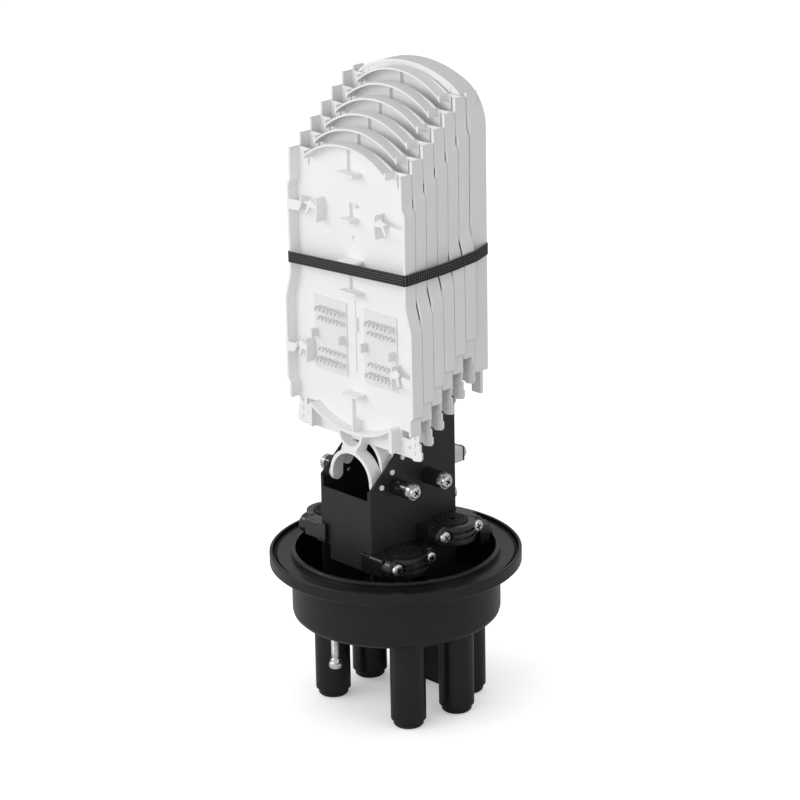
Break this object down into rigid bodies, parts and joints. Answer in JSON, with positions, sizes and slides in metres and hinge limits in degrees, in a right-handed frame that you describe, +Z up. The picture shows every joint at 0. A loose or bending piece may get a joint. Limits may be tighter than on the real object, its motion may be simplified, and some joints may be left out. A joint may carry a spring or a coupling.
{
  "type": "dome fibre splice closure",
  "caption": "Upright fibre splice closure with its dome off: round ported base, steel bracket, hinged splice trays stepping back and up, storage basket and woven strap.",
  "frame": {"origin": "on the base's axis, on the plane of the closed port ends", "axes": "+Z up along the base's axis, +X along the tray width to the right, -Y the open front of the trays"},
  "size_m": [0.21, 0.21, 0.5455],
  "materials": {
    "base_plastic": "satin",
    "clamp_plastic": "satin",
    "black_rubber": "matte",
    "painted_steel": "satin",
    "white_plastic": "matte",
    "bright_steel": "polished",
    "dark_steel": "satin",
    "woven_strap": "matte"
  },
  "bodies": {
    "base": {"anchor_blocks": "bright_steel", "anchor_caps": "clamp_plastic", "anchor_screws": "bright_steel", "base_shell": "base_plastic", "basket_screws": "bright_steel", "bracket_channel": "painted_steel", "bracket_foot_screws": "bright_steel", "bracket_rear_panel": "painted_steel", "cable_grommet_left_front": "black_rubber", "cable_grommet_left_rear": "black_rubber", "cable_grommet_right_front": "black_rubber", "cable_grommet_right_rear": "black_rubber", "clamp_block_left_front": "clamp_plastic", "clamp_block_left_rear": "clamp_plastic", "clamp_block_right_front": "clamp_plastic", "clamp_block_right_rear": "clamp_plastic", "clamp_screws": "bright_steel", "clamp_strap_left_front": "clamp_plastic", "clamp_strap_left_rear": "clamp_plastic", "clamp_strap_right_front": "clamp_plastic", "clamp_strap_right_rear": "clamp_plastic", "crown_washers": "bright_steel", "flange_seal_ring": "black_rubber", "oval_clamp_block": "clamp_plastic", "oval_clamp_screws": "bright_steel", "oval_clamp_strap": "clamp_plastic", "oval_grommet": "black_rubber", "post_left_front": "painted_steel", "post_left_rear": "painted_steel", "post_nuts": "dark_steel", "post_right_front": "painted_steel", "post_right_rear": "painted_steel", "post_screws": "bright_steel", "rear_panel_screws": "bright_steel", "storage_basket": "white_plastic", "tray_strap": "woven_strap", "valve_body": "bright_steel", "valve_nut": "bright_steel"},
    "tray_1": {"splice_tray_1": "white_plastic", "splice_holder_1_left": "white_plastic", "splice_holder_1_right": "white_plastic"},
    "tray_2": {"splice_tray_2": "white_plastic", "splice_holder_2_left": "white_plastic", "splice_holder_2_right": "white_plastic"},
    "tray_3": {"splice_tray_3": "white_plastic", "splice_holder_3_left": "white_plastic", "splice_holder_3_right": "white_plastic"},
    "tray_4": {"splice_tray_4": "white_plastic", "splice_holder_4_left": "white_plastic", "splice_holder_4_right": "white_plastic"},
    "tray_5": {"splice_tray_5": "white_plastic", "splice_holder_5_left": "white_plastic", "splice_holder_5_right": "white_plastic"},
    "tray_6": {"splice_tray_6": "white_plastic", "splice_holder_6_left": "white_plastic", "splice_holder_6_right": "white_plastic"},
    "valve_cap": {"valve_cap": "bright_steel"}
  },
  "joints": [
    {"name": "tray_1_hinge", "type": "hinge", "parent": "base", "child": "tray_1", "pos_m": [0, -0.0428, 0.2082], "axis": [1, 0, 0], "range_deg": [0, 75], "deforming": ["tray_strap"]},
    {"name": "tray_2_hinge", "type": "hinge", "parent": "base", "child": "tray_2", "pos_m": [0, -0.03085, 0.21844], "axis": [1, 0, 0], "range_deg": [0, 71.75]},
    {"name": "tray_3_hinge", "type": "hinge", "parent": "base", "child": "tray_3", "pos_m": [0, -0.0189, 0.22868], "axis": [1, 0, 0], "range_deg": [0, 68]},
    {"name": "tray_4_hinge", "type": "hinge", "parent": "base", "child": "tray_4", "pos_m": [0, -0.00695, 0.23892], "axis": [1, 0, 0], "range_deg": [0, 64.25]},
    {"name": "tray_5_hinge", "type": "hinge", "parent": "base", "child": "tray_5", "pos_m": [0, 0.005, 0.24916], "axis": [1, 0, 0], "range_deg": [0, 60.5]},
    {"name": "tray_6_hinge", "type": "hinge", "parent": "base", "child": "tray_6", "pos_m": [0, 0.01695, 0.2594], "axis": [1, 0, 0], "range_deg": [0, 56.75]},
    {"name": "valve_cap_slide", "type": "slide", "parent": "base", "child": "valve_cap", "axis": [0, 0, -1], "range_m": [0, 0.02]}
  ],
  "couplings": [
    {"joint": "tray_2_hinge", "follows": "tray_1_hinge", "ratio": 0.95},
    {"joint": "tray_3_hinge", "follows": "tray_1_hinge", "ratio": 0.9},
    {"joint": "tray_4_hinge", "follows": "tray_1_hinge", "ratio": 0.85},
    {"joint": "tray_5_hinge", "follows": "tray_1_hinge", "ratio": 0.8},
    {"joint": "tray_6_hinge", "follows": "tray_1_hinge", "ratio": 0.75}
  ]
}
